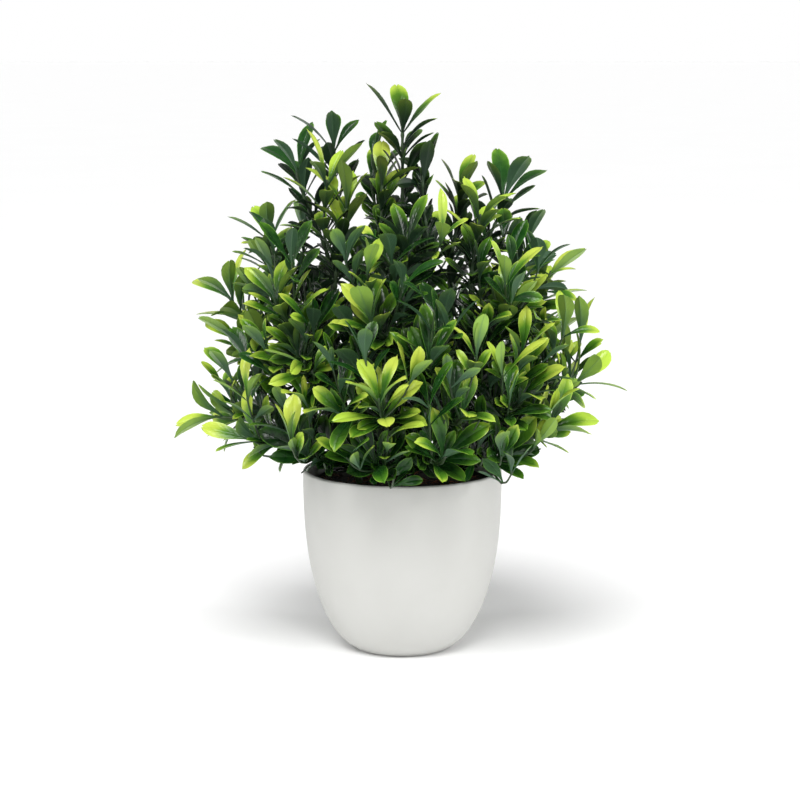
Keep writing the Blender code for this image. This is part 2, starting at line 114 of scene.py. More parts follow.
# For each branch its sprays: share of the stem below the peg, tip in millimetres, how much it turns up,
# and how lime it is.
SPRAYS_OF = {
    CENTRE: (
        (1.00, (0, -1, 236), 0.75, 0.45), (0.42, (3, 9, 178), 1.0, 0.2),
        (0.56, (-9, -4, 212), 1.0, 0.7), (0.78, (9, -3, 214), 1.0, 0.25),
    ),
    "front": (
        (1.00, (2, -37, 187), 0.75, 0.35), (0.10, (-12, -58, 94), 0.8, 0.2),
        (0.19, (18, -70, 100), 1.2, 0.45), (0.28, (-10, -79, 126), 1.8, 1.0),
        (0.37, (26, -66, 117), 1.6, 0.5), (0.46, (-27, -66, 118), 1.6, 0.5),
        (0.56, (12, -71, 140), 1.8, 0.4), (0.68, (-14, -60, 158), 1.8, 0.8),
    ),
    "front_right": (
        (1.00, (34, -19, 198), 0.75, 0.9), (0.12, (43, -38, 94), 0.8, 0.35),
        (0.24, (65, -28, 105), 1.0, 0.85), (0.36, (52, -42, 120), 1.5, 0.5),
        (0.50, (79, -19, 124), 1.0, 0.95), (0.64, (46, -33, 158), 1.5, 0.85),
    ),
    "back_right": (
        (1.00, (47, 19, 205), 0.75, 0.3), (0.14, (57, 36, 103), 1.0, 0.5),
        (0.29, (64, 20, 136), 1.2, 0.7), (0.45, (44, 44, 142), 1.5, 0.4),
        (0.60, (66, 26, 166), 1.0, 1.0), (0.76, (26, 20, 206), 0.75, 0.7),
    ),
    "back": (
        (1.00, (-14, 26, 222), 0.75, 0.2), (0.12, (13, 64, 100), 1.0, 0.4),
        (0.26, (-26, 64, 110), 1.3, 0.8), (0.40, (26, 64, 128), 1.5, 0.6),
        (0.54, (-12, 70, 146), 1.5, 1.0), (0.72, (12, 48, 180), 1.2, 0.5),
    ),
    "back_left": (
        (1.00, (-48, 16, 217), 0.75, 0.15), (0.14, (-70, 26, 102), 0.6, 0.7),
        (0.29, (-50, 44, 132), 1.5, 0.5), (0.44, (-76, 20, 138), 0.75, 0.8),
        (0.58, (-80, 24, 158), 1.0, 0.95), (0.74, (-61, 22, 186), 0.75, 0.6),
    ),
    "front_left": (
        (1.00, (-24, -16, 203), 0.75, 1.0), (0.11, (-42, -40, 95), 0.6, 0.15),
        (0.23, (-66, -34, 101), 0.6, 0.6), (0.36, (-83, -20, 109), 0.3, 1.0),
        (0.50, (-46, -42, 141), 1.5, 0.45), (0.66, (-56, -33, 164), 1.3, 0.9),
    ),
}
SPRAYS = [(branch, *spray) for branch, sprays in SPRAYS_OF.items() for spray in sprays]

# -------- sizes of the fine surfaces

# The blade's outline: how far along a row of points is, and its share of the greatest half width.
LEAF_OUTLINE = (
    (0.0, 0.13), (0.13, 0.16), (0.26, 0.30), (0.39, 0.57), (0.52, 0.84),
    (0.64, 0.99), (0.75, 0.99), (0.86, 0.85), (0.95, 0.56), (1.0, 0.26),
)
LEAF_COLUMNS = (-1.0, -0.62, -0.13, 0.0, 0.13, 0.62, 1.0)
BLADE_SHARE = 0.87
BLADE_THICK = 0.00042
BLADE_RIPPLE = 0.00036
BLADE_BOW = 0.00050
RIB_GROOVE = 0.00022
TIP_ROUNDING = 0.05

# The bush's outline as height and radius in millimetres. Added leaves and side shoots keep inside it.
OUTLINE = (
    (80, 46), (84, 52), (95, 72), (105, 84), (118, 90), (150, 91), (165, 85),
    (180, 79), (200, 72), (215, 65), (230, 54), (241, 38), (247, 14), (256, 5),
)
OUTLINE_LEAN = 0.35
THINNING = (0.180, 0.203, 0.8)
HIGHEST_SHOOT = 0.207
EXTRA_SIZE = 0.85
EXTRA_LEAVES = 3
SHOOTS = 210
SHOOT_TRIES = 24
SHOOT_STEP = 0.0090
SHOOT_WHORLS = 4
SHOOT_LEAVES = 3
SHOOT_RADIUS = 0.00055
SHOOT_FORK = (32.0, 62.0)
SHOOT_REACH = (0.020, 0.038)
# Side shoots listed one by one: the spray's place in the list, how far up its twig, the tip, and how lime.
CROWN = (
    (36, 0.35, (-33, -16, 213), 0.9),
    (30, 0.30, (-31, 12, 227), 0.1),
    (24, 0.35, (-15, 31, 212), 0.5),
    (18, 0.40, (33, 15, 212), 0.6),
)
CROWN_LEAVES = 4
CROWN_UPTURN = 1.2
FOOT_WHORLS = 7
FOOT_LEAVES = 6
FOOT_SIZE = 0.9
FOOT_START = 0.0040
FOOT_STEP = 0.0032
ADDED_LOWEST = 0.0795
STEM_WHORLS = 11
STEM_LEAVES = 3
STEM_SIZE = 0.95
# How lime a leaf is by its place in its twig's whorls, the youngest first.
LIME_FADE = (1.0, 0.78, 0.5, 0.28, 0.14)

# What the random draws of each kind start from. Those of the main leaves are the CAD model's.
MAIN_SEED = 100
EXTRA_SEED = 500
DARK_SEED = 900
FOOT_SEED = 1300
CROWN_SEED = 1500
SHOOT_SEED = 77
SPRAY_SEED = 2000
STEM_SEED = 3000
CRUMB_SEED = 4000
FIBRE_SEED = 5000

TUBE_SIDES = 10
FINE_TWIG_POINTS = 17
FINE_STEM_POINTS = 29
FINE_TWIG_STEP = 0.0011
FINE_STEM_STEP = 0.0016
FINE_SHOOT_STEP = 0.002
SOCKET_LENGTH = 0.0042
SOCKET_OVERLAP = 0.0012
SOCKET_RADIUS = 0.00125
SOCKET_END_RADIUS = 0.0010
PEG_FOOT_RADIUS = 0.0013
NODE_SWELL = 0.00035
NODE_REACH = 0.0009
PLANT_SHARP_DEGREES = 50

POT_TURN_STEPS = 144
POT_SIDE_STEPS = 46
POT_EDGE = 0.0009
SOIL_RINGS = 44
SOIL_SPOKES = 150
SOIL_EDGE_Z = 0.0764
SOIL_LUMPS = 0.0006
SOIL_RISE = 0.0034
FIBRES = 260
FIBRE_POINTS = 6
FIBRE_LENGTH = (0.003, 0.009)
FIBRE_ARCH = (0.0002, 0.0012)
FIBRE_RADIUS = (0.00007, 0.00015)
CRUMBS = 420
CRUMB_SIZE = (0.0003, 0.0009)

# Where the lights are, how strong they are, and how wide the soft ones are.
LIT_POINT = (0, 0, 0.13)
SUN = ((-0.15, -0.9, 1.5), 2.7)
SUN_DEGREES = 36
SOFT_LIGHTS = {
    "front": ((0.4, -1.3, 0.7), 2.5, 0.35),
    "right": ((1.35, -0.4, 0.6), 7.0, 0.4),
    "left": ((-1.3, -0.45, 0.6), 4.5, 0.4),
}
SKY_HEIGHTS = (0.1, 0.35)
SKY_STRENGTHS = (1.0, 0.32)
FLOOR_SIZE = 80.0
FLOOR_GAP = 0.0002
CAMERA_PITCH = 8.86
CAMERA_DISTANCE = 1.0
CAMERA_TARGET = (-0.0011, 0, 0.11315)
CAMERA_LENS = 99.8


# -------- growth plan, as in the CAD model


def mm(point):
    return Vector(point) / 1000


def clamped(value):
    return min(1.0, max(0.0, value))


def round_axis(radius, angle, z=0.0):
    return Vector((radius * cos(angle), radius * sin(angle), z))


def facing(branch):
    """The level direction that a branch faces and bends towards: none for the centre one."""
    return Vector() if branch == CENTRE else round_axis(1.0, radians(BRANCHES[branch][0]))


def pivot_of(branch):
    return facing(branch) * PIVOT_RADIUS + Vector((0, 0, PIVOT_HEIGHT))


def bend_matrix(branch, share):
    """How a branch moves when bent outwards by a share of its range. The centre one doesn't bend."""
    if branch == CENTRE:
        return Matrix.Identity(4)
    pivot = pivot_of(branch)
    axis = Vector((0, 0, 1)).cross(facing(branch))
    turn = Matrix.Rotation(radians(BEND_DEGREES * share), 4, axis)
    return Matrix.Translation(pivot) @ turn @ Matrix.Translation(-pivot)


def along(path, distance):
    """The point and the direction at a distance along a path."""
    for a, b in zip(path, path[1:]):
        step = (b - a).length
        if distance <= step or b is path[-1]:
            return a + (b - a) * (distance / step), (b - a) / step
        distance -= step


def length_of(path):
    return sum((b - a).length for a, b in zip(path, path[1:]))


def stem_path(branch, points):
    """A stem leaves the soil nearly upright, leans outwards and rises to its top."""
    top = mm(BRANCHES[branch][1])
    foot = pivot_of(branch) + Vector((0, 0, GAP))
    lean = (Vector((0, 0, 1)) + facing(branch) * 0.35).normalized()
    reach = (top - foot).length * 0.38
    last = top - Vector((0, 0, reach * 0.9)) + facing(branch) * 0.003
    return interpolate_bezier(foot, foot + lean * reach, last, top, points)


def twig_start(stem, share, tip):
    """Where a spray's peg is rooted in the stem, and the direction of the peg."""
    root, rise = along(stem, length_of(stem) * share)
    if share == 1.0:
        return root, rise
    aside = tip - root
    aside = (aside - rise * aside.dot(rise)).normalized()
    fork = radians(FORK_DEGREES)
    return root, rise * cos(fork) + aside * sin(fork)


def twig_path(stem, share, tip, upturn, points):
    """A twig carries on from its peg, sags outwards and turns up at its tip."""
    root, peg = twig_start(stem, share, tip)
    start = root + peg * (GAP + (0 if share == 1.0 else PEG_LENGTH))
    reach = (tip - start).length * 0.36
    end = ((tip - start).normalized() + Vector((0, 0, upturn))).normalized()
    return interpolate_bezier(start, start + peg * reach, tip - end * reach, tip, points)


class Leaf:
    """One leaf: where it is rooted, which way it grows, and its size."""

    def __init__(self, root, axis, out, splay, bend, roll, length, width):
        self.root, self.axis, self.out = root, axis, out
        self.splay, self.bend, self.roll = splay, bend, roll
        self.length, self.width = length, width
        self.level, self.lime_from = 0, None

    def point(self, t, across, lift):
        """t runs from root to tip; across (sideways) and lift (upwards) are in metres."""
        bent = self.bend * t
        turn = self.splay + bent
        grow = self.axis * cos(turn) + self.out * sin(turn)
        up = self.axis * sin(turn) - self.out * cos(turn)
        side = Matrix.Rotation(self.roll, 3, grow) @ grow.cross(up)
        up = side.cross(grow)
        chord = self.splay + bent / 2
        run = self.length * t * (1 - bent * bent / 24)
        rib = self.axis * cos(chord) + self.out * sin(chord)
        fold = LEAF_FOLD * abs(across) * 2
        return self.root + rib * run + side * across + up * (lift + fold)

    def outline(self, pad=0.0):
        """The CAD blade's corners as (t, across): the root, then up one side and down the other."""
        middle = self.width / 2 + pad
        tip = self.width * LEAF_TIP_SHARE / 2 + pad
        end = 1.0 + pad / self.length
        return [(0.0, 0.0), (LEAF_WIDEST, -middle), (end, -tip), (end, tip), (LEAF_WIDEST, middle)]

    def hull(self, pad):
        """The CAD blade with room around it, for finding what it would touch."""
        ring = self.outline(pad)
        upper = [self.point(t, a, pad) for t, a in ring]
        lower = [self.point(t, a, -pad) for t, a in ring]
        crest = LEAF_THICK / 2 + pad
        points = upper + lower
        points += [self.point(LEAF_CREST, 0, crest), self.point(LEAF_CREST, 0, -crest)]
        n = len(ring)
        faces = []
        for i in range(n):
            j = (i + 1) % n
            faces += [(2 * n, i, j), (2 * n + 1, n + j, n + i), (i, n + i, n + j), (i, n + j, j)]
        return points, faces

    def samples(self):
        """Points all over the blade, closer together than the pot's wall and the room round it are thick."""
        rows = [(k / 12, (0.5 + 0.5 * min(1, k / 7)) * self.width / 2) for k in range(13)]
        return [self.point(t, s * half, 0) for t, half in rows for s in (-1, 0, 1)]


def tube_shape(path, radius):
    """A plain six-sided tube, for finding what a leaf would touch."""
    points, faces = [], []
    for i, p in enumerate(path):
        ahead = path[min(i + 1, len(path) - 1)] - path[max(i - 1, 0)]
        side = ahead.orthogonal().normalized() * radius
        for k in range(6):
            points.append(p + Matrix.Rotation(pi * k / 3, 3, ahead) @ side)
    for i in range(len(path) - 1):
        for k in range(6):
            a, b = 6 * i + k, 6 * i + (k + 1) % 6
            faces += [(a, b, b + 6), (a, b + 6, a + 6)]
    return points, faces


def box_of(points):
    low = [min(p[k] for p in points) for k in range(3)]
    return low, [max(p[k] for p in points) for k in range(3)]


class Space:
    """What already stands somewhere, kept as shapes that each belong to a spray or a stem."""

    def __init__(self):
        self.items = []

    def add(self, owner, points, faces):
        self.items.append((owner, *box_of(points), BVHTree.FromPolygons(points, faces)))

    def hit(self, owner, points, faces):
        low, high = box_of(points)
        tree = None
        for other, first, last, shape in self.items:
            if other == owner or any(first[k] > high[k] or last[k] < low[k] for k in range(3)):
                continue
            tree = tree or BVHTree.FromPolygons(points, faces)
            if tree.overlap(shape):
                return True
        return False


def pot_radius(z):
    """The pot's outer radius at a height."""
    low = max(0.0, 1 - z / POT_HEIGHT)
    swell = (1 - low ** POT_CURVE[0]) ** (1 / POT_CURVE[1])
    return POT_BASE_RADIUS + (POT_RADIUS - POT_BASE_RADIUS) * swell


def in_slice(branch, points):
    """True if all points lie well inside the branch's own slice of the bush."""
    ahead = facing(branch)
    aside = Vector((-ahead.y, ahead.x, 0))
    half = pi / SECTORS
    room = (p.dot(ahead) * sin(half) - abs(p.dot(aside)) * cos(half) for p in points)
    return min(room) >= MARGIN


def in_own_space(branch, points):
    """True if all points are in the core, for the centre branch, or in the branch's slice outside it."""
    radii = [hypot(p.x, p.y) for p in points]
    if branch == CENTRE:
        return max(radii) <= CORE_RADIUS - MARGIN
    return min(radii) >= CORE_RADIUS + MARGIN and in_slice(branch, points)


def clears_pot(points):
    """True if no point is in the soil, in the pot's wall, or about to touch them."""
    for p in points:
        if p.z > POT_HEIGHT + RIM_CLEARANCE:
            continue
        r = hypot(p.x, p.y)
        inside = r < POT_RADIUS - POT_WALL - RIM_CLEARANCE and p.z > PIVOT_HEIGHT
        if not inside and r < POT_RADIUS + RIM_CLEARANCE:
            return False
    return True


def can_bend(branch, leaf, lowest=LOWEST_LEAF):
    """True if the leaf stays in its own space and off the pot at four positions of the branch's bend."""
    points = leaf.samples() + leaf.hull(LEAF_SPACE)[0]
    if min(p.z for p in points) < lowest:
        return False
    for share in (0.0, 0.33, 0.67, 1.0):
        moved = [bend_matrix(branch, share) @ p for p in points]
        if not in_own_space(branch, moved) or not clears_pot(moved):
            return False
    return True


def outline_radius(z):
    """The radius of the bush's outline at a height."""
    for (low, near), (high, far) in zip(OUTLINE, OUTLINE[1:]):
        if low <= z * 1000 <= high:
            return (near + (far - near) * (z * 1000 - low) / (high - low)) / 1000
    return 0.0


def in_outline(p, share=1.0):
    """True if a point is in the bush's outline, whose top leans a little to the left."""
    lean = OUTLINE_LEAN * max(0.0, p.z - 0.205)
    return hypot(p.x + lean, p.y) < outline_radius(p.z) * share


def thinning(z):
    """The share of added leaves that is left out at a height, as the bush's top is airy."""
    low, high, most = THINNING
    return most * clamped((z - low) / (high - low))


def grow_leaf(draw, branch, owner, space, root, axis, start_angle, level, is_end, scale=1.0):
    """The first of a few ways to set a leaf that touches nothing, or None."""
    if scale != 1.0 and draw.random() < thinning(root.z):
        return None
    splay_degrees = END_SPLAY if is_end else SPLAY + level * SPLAY_GAIN
    side = axis.orthogonal().normalized()
    for attempt in range(TRIES):
        loose = 1 + attempt * 0.7
        angle = start_angle + radians(draw.uniform(-7, 7) * loose)
        splay = radians(splay_degrees + draw.uniform(-5, 5) * loose)
        bend = radians(draw.uniform(*LEAF_BEND))
        roll = radians(draw.uniform(-10, 10) * loose)
        size = scale * draw.uniform(0.86, 1.16) * (1 - 0.025 * attempt) * (1 - 0.03 * level)
        width = LEAF_WIDTH * size * draw.uniform(0.86, 1.14)
        out = Matrix.Rotation(angle, 3, axis) @ side
        leaf = Leaf(root, axis, out, splay, bend, roll, LEAF_LENGTH * size, width)
        if scale != 1.0 and not in_outline(leaf.point(1, 0, 0)):
            continue
        lowest = LOWEST_LEAF if scale == 1.0 else ADDED_LOWEST
        if can_bend(branch, leaf, lowest) and not space.hit(owner, *leaf.hull(LEAF_SPACE)):
            leaf.level = level
            return leaf
    return None


def grow_main_leaves(twigs, space):
    """The whorls that the CAD sprays have, leaf for leaf."""
    draws = [random.Random(MAIN_SEED + i) for i in range(len(SPRAYS))]
    turns = [draw.uniform(0, 2 * pi) for draw in draws]
    leaves = [[] for _ in SPRAYS]
    for level, count in enumerate(WHORL_LEAVES):
        for i, path in enumerate(twigs):
            bare = length_of(path) - 2 * FIRST_WHORL
            step = min(WHORL_STEP, bare / 3) * draws[i].uniform(0.92, 1.0)
            if level * step > bare:
                continue
            root, axis = along(path, length_of(path) - FIRST_WHORL - level * step)
            axis = (axis + Vector((0, 0, LEAF_RISE * SPRAYS[i][3]))).normalized()
            for k in range(count):
                angle = turns[i] + 2 * pi * k / count + level * 0.8
                is_end = level == 0 and k == 0
                leaf = grow_leaf(draws[i], SPRAYS[i][0], i, space, root, axis, angle, level, is_end)
                if leaf:
                    leaves[i].append(leaf)
                    space.add(i, *leaf.hull(GROWN_SPACE))
    return leaves


class Thicket:
    """The CAD leaves and the added leaves and shoots, by the spray or stem that they grow on."""

    def __init__(self, stems, twigs, leaves, space):
        self.stems, self.twigs, self.space = stems, twigs, space
        self.leaves = {i: list(grown) for i, grown in enumerate(leaves)}
        self.leaves.update({branch: [] for branch in stems})
        self.shoots = {owner: [] for owner in self.leaves}
        self.middles = [leaf.point(0.6, 0, 0) for grown in leaves for leaf in grown]

    def branch_of(self, owner):
        return owner if owner in self.stems else SPRAYS[owner][0]

    def whorl(self, draw, owner, tag, path, at, level, count, scale, lime_from, is_end=False, rise=0.6):
        """Leaves round one place on a path."""
        root, axis = along(path, at)
        axis = (axis + Vector((0, 0, rise))).normalized()
        turn = draw.uniform(0, 2 * pi)
        fixed = draw, self.branch_of(owner), tag, self.space, root, axis
        for k in range(count):
            leaf = grow_leaf(*fixed, turn + 2 * pi * k / count, level, is_end and k == 0, scale)
            if leaf:
                leaf.lime_from = lime_from
                self.leaves[owner].append(leaf)
                self.middles.append(leaf.point(0.6, 0, 0))
                self.space.add(tag, *leaf.hull(GROWN_SPACE))

    def fill_crown(self):
        """Upright shoots that give the top of the bush its spikes."""
        for number, (owner, share, tip, lime) in enumerate(CROWN):
            draw = random.Random(CROWN_SEED + number)
            twig, tip = self.twigs[owner], mm(tip)
            path = [twig_start(twig, share, tip)[0]] + twig_path(twig, share, tip, CROWN_UPTURN, TWIG_POINTS)
            if self.space.hit(owner, *tube_shape(path, SHOOT_RADIUS)):
                continue
            self.space.add(owner, *tube_shape(path, SHOOT_RADIUS))
            self.shoots[owner].append(path)
            for level in range(SHOOT_WHORLS):
                at = length_of(path) - FIRST_WHORL - level * WHORL_STEP
                if at > 0.005:
                    self.whorl(draw, owner, owner, path, at, level, CROWN_LEAVES, 1.0, lime, level == 0)

    def fill_twigs(self):
        """Smaller leaves between the whorls of each twig."""
        for i, path in enumerate(self.twigs):
            draw = random.Random(EXTRA_SEED + i)
            for level in range(int(length_of(path) / WHORL_STEP)):
                at = length_of(path) - FIRST_WHORL - (level + 0.5) * WHORL_STEP
                if at > 0.0015:
                    self.whorl(draw, i, i, path, at, min(level + 1, 4), EXTRA_LEAVES, EXTRA_SIZE, None)

    def fill_stems(self):
        """Dark leaves on each stem itself, between its pegs."""
        for index, (branch, path) in enumerate(self.stems.items()):
            draw = random.Random(DARK_SEED + index)
            for whorl in range(STEM_WHORLS):
                at = length_of(path) * (0.06 + 0.9 * (whorl + draw.uniform(0.2, 0.8)) / STEM_WHORLS)
                self.whorl(draw, branch, branch, path, at, 3, STEM_LEAVES, STEM_SIZE, 0.0)

    def fill_feet(self):
        """Dark outward leaves low on each stem, which hide the soil."""
        for index, (branch, path) in enumerate(self.stems.items()):
            draw = random.Random(FOOT_SEED + index)
            for whorl in range(FOOT_WHORLS):
                at = FOOT_START + FOOT_STEP * whorl
                self.whorl(draw, branch, branch, path, at, 4, FOOT_LEAVES, FOOT_SIZE, 0.0, rise=0.0)

    def candidate(self, draw):
        """A shoot that forks off a stem or twig somewhere and turns up, or None if it has no room."""
        owner = draw.choice(list(self.leaves))
        parent = self.stems[owner] if owner in self.stems else self.twigs[owner]
        root, rise = along(parent, length_of(parent) * draw.uniform(0.12, 0.92))
        fork = radians(draw.uniform(*SHOOT_FORK))
        aside = Matrix.Rotation(draw.uniform(0, 2 * pi), 3, rise) @ rise.orthogonal().normalized()
        start = rise * cos(fork) + aside * sin(fork)
        reach = draw.uniform(*SHOOT_REACH)
        end = (start + Vector((0, 0, draw.uniform(0.8, 1.8)))).normalized()
        tip = root + start * reach * 0.55 + end * reach * 0.45
        knots = root, root + start * reach * 0.36, tip - end * reach * 0.36, tip
        path = interpolate_bezier(*knots, TWIG_POINTS)
        far = tip + end * LEAF_LENGTH * 0.8
        if not LOWEST_LEAF < far.z < HIGHEST_SHOOT or not in_outline(far, 0.97):
            return None
        if min(p.z for p in path) < LOWEST_LEAF - 0.002:
            return None
        branch = self.branch_of(owner)
        at_rest, half_bent, bent = (bend_matrix(branch, share) for share in (0, 0.5, 1))
        if not all(in_own_space(branch, [m @ p for p in path[1:] + [far]]) for m in (at_rest, bent)):
            return None
        dense = resampled(path, FINE_SHOOT_STEP)[1:]
        if not all(clears_pot([m @ p for p in dense]) for m in (at_rest, half_bent, bent)):
            return None
        return owner, path, tip + end * LEAF_LENGTH * 0.3

    def grow_shoot(self, draw, number):
        """The candidate that reaches into the emptiest place, with whorls of leaves on it."""
        tree = KDTree(len(self.middles))
        for i, place in enumerate(self.middles):
            tree.insert(place, i)
        tree.balance()
        found = [c for c in (self.candidate(draw) for _ in range(SHOOT_TRIES)) if c]
        found.sort(key=lambda c: -sum(near[2] for near in tree.find_n(c[2], 3)))
        for owner, path, _ in found[:6]:
            tag = "shoot", number
            if self.space.hit(owner, *tube_shape(path[1:], SHOOT_RADIUS)):
                continue
            self.space.add(tag, *tube_shape(path, SHOOT_RADIUS))
            self.shoots[owner].append(path)
            tip = path[-1]
            outness = hypot(tip.x, tip.y) / outline_radius(tip.z + 0.012)
            lime = draw.random() ** 1.1 if outness > 0.7 else 0.5 * draw.random()
            for level in range(SHOOT_WHORLS):
                at = length_of(path) - 0.002 - level * SHOOT_STEP
                if at > 0.003:
                    scale = 0.92 - 0.03 * level
                    self.whorl(draw, owner, tag, path, at, level, SHOOT_LEAVES, scale, lime, level == 0)
            return

    def fill(self):
        draw = random.Random(SHOOT_SEED)
        self.fill_crown()
        self.fill_twigs()
        self.fill_feet()
        self.fill_stems()
        for number in range(SHOOTS):
            self.grow_shoot(draw, number)


def growth_plan():
    """The stems, and everything that grows on them and on their twigs."""
    stems = {branch: stem_path(branch, STEM_POINTS) for branch in BRANCHES}
    twigs = [twig_path(stems[b], share, mm(tip), up, TWIG_POINTS) for b, share, tip, up, _ in SPRAYS]
    space = Space()
    for branch, path in stems.items():
        space.add(branch, *tube_shape(path, STEM_BASE_RADIUS))
    for i, path in enumerate(twigs):
        space.add(i, *tube_shape(path, TWIG_BASE_RADIUS))
    for branch, share, tip, *_ in SPRAYS:
        if share < 1.0:
            root, peg = twig_start(stems[branch], share, mm(tip))
            space.add(branch, *tube_shape([root, root + peg * PEG_LENGTH], PEG_RADIUS))
    leaves = grow_main_leaves(twigs, space)
    thicket = Thicket(stems, twigs, leaves, space)
    thicket.fill()
    return stems, thicket


# -------- mesh making


def linked(name, data):
    """A new object with this data, in the scene."""
    obj = bpy.data.objects.new(name, data)
    bpy.context.scene.collection.objects.link(obj)
    return obj


class MeshData:
    """Points, faces and per-point values of one piece, gathered shape by shape.

    slot is the place of the shape's material in the piece's list: for plants, 0 is leaf and 1 is stem.
    """

    # The last of these values is how much painted shade a leaf gets deep in the bush.
    VALUES = ("lime", "across", "along", "tone", "age")

    def __init__(self):
        self.points, self.faces, self.under, self.slots = [], [], [], []
        self.values = {name: [] for name in self.VALUES}

    def add(self, points, faces, slot=0, under=None, **values):
        start = len(self.points)
        self.points += points
        self.faces += [[start + i for i in face] for face in faces]
        self.slots += [slot] * len(faces)
        self.under += under or [0.0] * len(faces)
        for name in self.VALUES:
            given = values.get(name, 0.0)
            self.values[name] += given if isinstance(given, list) else [given] * len(points)

    def make(self, name, materials, sharp_degrees):
        mesh = bpy.data.meshes.new(name)
        mesh.from_pydata(self.points, [], self.faces)
        for name_of, values in self.values.items():
            mesh.attributes.new(name_of, "FLOAT", "POINT").data.foreach_set("value", values)
        mesh.attributes.new("under", "FLOAT", "FACE").data.foreach_set("value", self.under)
        for material in materials:
            mesh.materials.append(material)
        mesh.polygons.foreach_set("material_index", self.slots)
        mesh.shade_smooth()
        mesh.set_sharp_from_angle(angle=radians(sharp_degrees))
        mesh.validate()
        return linked(name, mesh)


def tooth_cut(kind, v, depth):
    """How much shorter the blade is at v across its tip."""
    round_off = TIP_ROUNDING * v * v
    if kind == "notched":
        return round_off + depth * max(0.0, 1 - abs(v) / 0.5)
    if kind == "toothed":
        return round_off + depth * 0.8 * sin(pi * min(1.0, abs(v) / 0.9)) ** 2
    return round_off


def leaf_surface(leaf, draw):
    """A fine blade's points row by row as (t, v, across, lift), v being the share across the blade."""
    kind = draw.choice(("round", "round", "notched", "notched", "toothed"))
    depth = draw.uniform(0.03, 0.08)
    wave = draw.uniform(-BLADE_RIPPLE, BLADE_RIPPLE)
    bow = draw.uniform(-BLADE_BOW, BLADE_BOW)
    skew = draw.uniform(-0.05, 0.05)
    half = leaf.width / 2 * BLADE_SHARE
    rows = []
    for u, share in LEAF_OUTLINE:
        row = []
        for v in LEAF_COLUMNS:
            t = u - u ** 9 * tooth_cut(kind, v, depth)
            across = half * share * (v + skew * (1 - v * v)) + bow * sin(pi * t)
            crown = 0.10 * half * (1 - v * v) * share - RIB_GROOVE * (abs(v) < 0.05) * share
            ripple = wave * sin(2.6 * pi * u + v) * abs(v) * share
            row.append((t, v, across, crown + ripple))
        rows.append(row)
    return rows


def leaf_thickness(u, v):
    """Half the blade's thickness: nothing at the outline, thickest along the rib near the root."""
    return BLADE_THICK / 2 * (1.5 - 0.8 * u) * (1 - 0.25 * abs(v))


def depth_shade_of(leaf, draw):
    """How much painted shade a leaf gets: 0 at the outer twigs' tips, and 1 deep in the bush, where shade
    falls.
    """
    middle = leaf.point(0.6, 0, 0)
    depth = 1 - hypot(middle.x, middle.y) / max(0.02, outline_radius(middle.z))
    return clamped(1.8 * depth - 0.2 + 0.12 * leaf.level + draw.uniform(-0.2, 0.2))


def add_leaf(data, leaf, draw, lime):
    """A fine blade as one closed shape: an upper and a lower face that share the outline's points."""
    rows = leaf_surface(leaf, draw)
    last, wide = len(rows) - 1, len(LEAF_COLUMNS)
    points, along_values, across_values = [], [], []
    upper, lower = {}, {}
    for i, row in enumerate(rows):
        for j, (t, v, across, lift) in enumerate(row):
            rim = i in (0, last) or j in (0, wide - 1)
            thick = 0.0 if rim else leaf_thickness(LEAF_OUTLINE[i][0], v)
            for side, book in ((1, upper), (-1, lower)):
                if rim and side < 0:
                    book[i, j] = upper[i, j]
                    continue
                book[i, j] = len(points)
                points.append(leaf.point(t, across, lift + side * thick))
                along_values.append(t)
                across_values.append(v)
    faces, under = [], []
    for i in range(last):
        for j in range(wide - 1):
            corners = ((i, j), (i, j + 1), (i + 1, j + 1), (i + 1, j))
            faces.append([upper[c] for c in corners])
            faces.append([lower[c] for c in reversed(corners)])
            under += [0.0, 1.0]
    # The last value is the painted shade that darkens leaves deep in the bush.
    data.add(
        points, faces, 0, under, lime=lime, along=along_values, across=across_values,
        tone=draw.random(), age=depth_shade_of(leaf, draw),
    )


def open_tube(path, radii, sides):
    """The points and faces of a tube without ends or twist, with a radius at each point of its path."""
    points, faces = [], []
    across = (path[1] - path[0]).orthogonal().normalized()
    last = len(path) - 1
    for i, place in enumerate(path):
        ahead = (path[min(i + 1, last)] - path[max(i - 1, 0)]).normalized()
        across = (across - ahead * across.dot(ahead)).normalized()
        aside = ahead.cross(across)
        for angle in (2 * pi * k / sides for k in range(sides)):
            points.append(place + (across * cos(angle) + aside * sin(angle)) * radii[i])
    for a in range(last * sides):
        b = a + 1 if (a + 1) % sides else a + 1 - sides
        faces.append([a, b, b + sides, a + sides])
    return points, faces


def add_tube(data, path, radii, tone):
    """A closed round tube along a path, with a radius at each point and domed ends."""
    points, faces = open_tube(path, radii, TUBE_SIDES)
    tail = len(points)
    points.append(path[0] - (path[1] - path[0]).normalized() * radii[0] * 0.5)
    points.append(path[-1] + (path[-1] - path[-2]).normalized() * radii[-1] * 0.8)
    for k in range(TUBE_SIDES):
        j = (k + 1) % TUBE_SIDES
        faces.append([tail, j, k])
        faces.append([tail + 1, tail - TUBE_SIDES + k, tail - TUBE_SIDES + j])
    data.add(points, faces, 1, tone=tone)


def resampled(path, step):
    """Points evenly spaced along a path."""
    count = max(2, round(length_of(path) / step))
    return [along(path, length_of(path) * i / count)[0] for i in range(count + 1)]


def twig_radii(path, nodes):
    """A twig tapers, swells a little where its leaves come out, and starts in a socket."""
    total = length_of(path)
    radii = []
    for i, _ in enumerate(path):
        at = total * i / (len(path) - 1)
        taper = TWIG_BASE_RADIUS + (TWIG_TIP_RADIUS - TWIG_BASE_RADIUS) * at / total
        swell = sum(NODE_SWELL * exp(-((at - n) / NODE_REACH) ** 2) for n in nodes)
        radii.append(taper + min(swell, NODE_SWELL))
    return radii


# -------- materials


